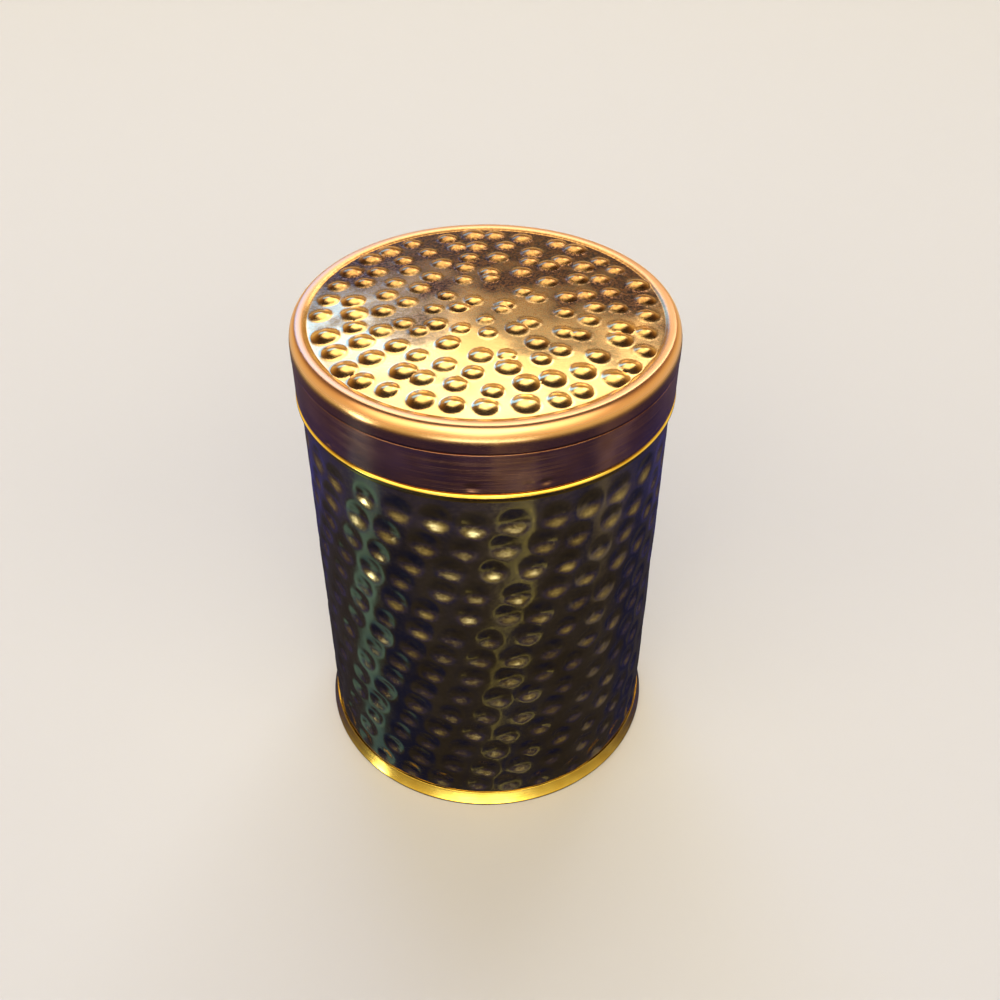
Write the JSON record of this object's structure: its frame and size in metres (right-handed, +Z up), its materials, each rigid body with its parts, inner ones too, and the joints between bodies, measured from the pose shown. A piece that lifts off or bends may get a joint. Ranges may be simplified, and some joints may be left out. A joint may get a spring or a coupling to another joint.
{
  "type": "spice box",
  "caption": "Tall round spice box: hammered brass body on a flared foot, seat bead, plain inner neck, and a slip-on copper cap lid with a domed hammered top and a smooth band.",
  "frame": {"origin": "centre of the foot, on the surface that the box stands on", "axes": "+Z up along the box's axis; the rolled strips' seams are at the back, on the +Y side"},
  "size_m": [0.101, 0.101, 0.143],
  "materials": {
    "hammered_brass": "hand-hammered sheet brass, polished, with brown patina in the dimples",
    "polished_brass": "plain sheet brass, polished, lightly worn",
    "hammered_copper": "hand-hammered sheet copper, bright on the bumps, dark grainy patina between them",
    "polished_copper": "plain sheet copper, polished, with fine scratches round it",
    "brazing_alloy": "filed brazing spelter, dull",
    "soft_solder": "tin solder, dull grey",
    "iron_wire": "drawn iron wire, dark"
  },
  "bodies": {
    "canister": {"body_wall": "hammered_brass", "body_seam": "brazing_alloy", "foot_ring": "polished_brass", "foot_seam": "brazing_alloy", "bottom_plate": "polished_brass", "bottom_braze": "brazing_alloy", "seat_bead": "polished_brass", "bead_seam": "brazing_alloy", "neck_collar": "polished_brass", "neck_seam": "brazing_alloy", "mouth_wire": "iron_wire", "neck_solder": "soft_solder"},
    "lid": {"lid_band": "polished_copper", "lid_band_seam": "brazing_alloy", "lid_top": "hammered_copper", "lid_solder": "soft_solder"}
  },
  "joints": [
    {"name": "lid_lift", "type": "slide", "parent": "canister", "child": "lid", "axis": [0, 0, 1], "range_m": [0, 0.12]}
  ]
}
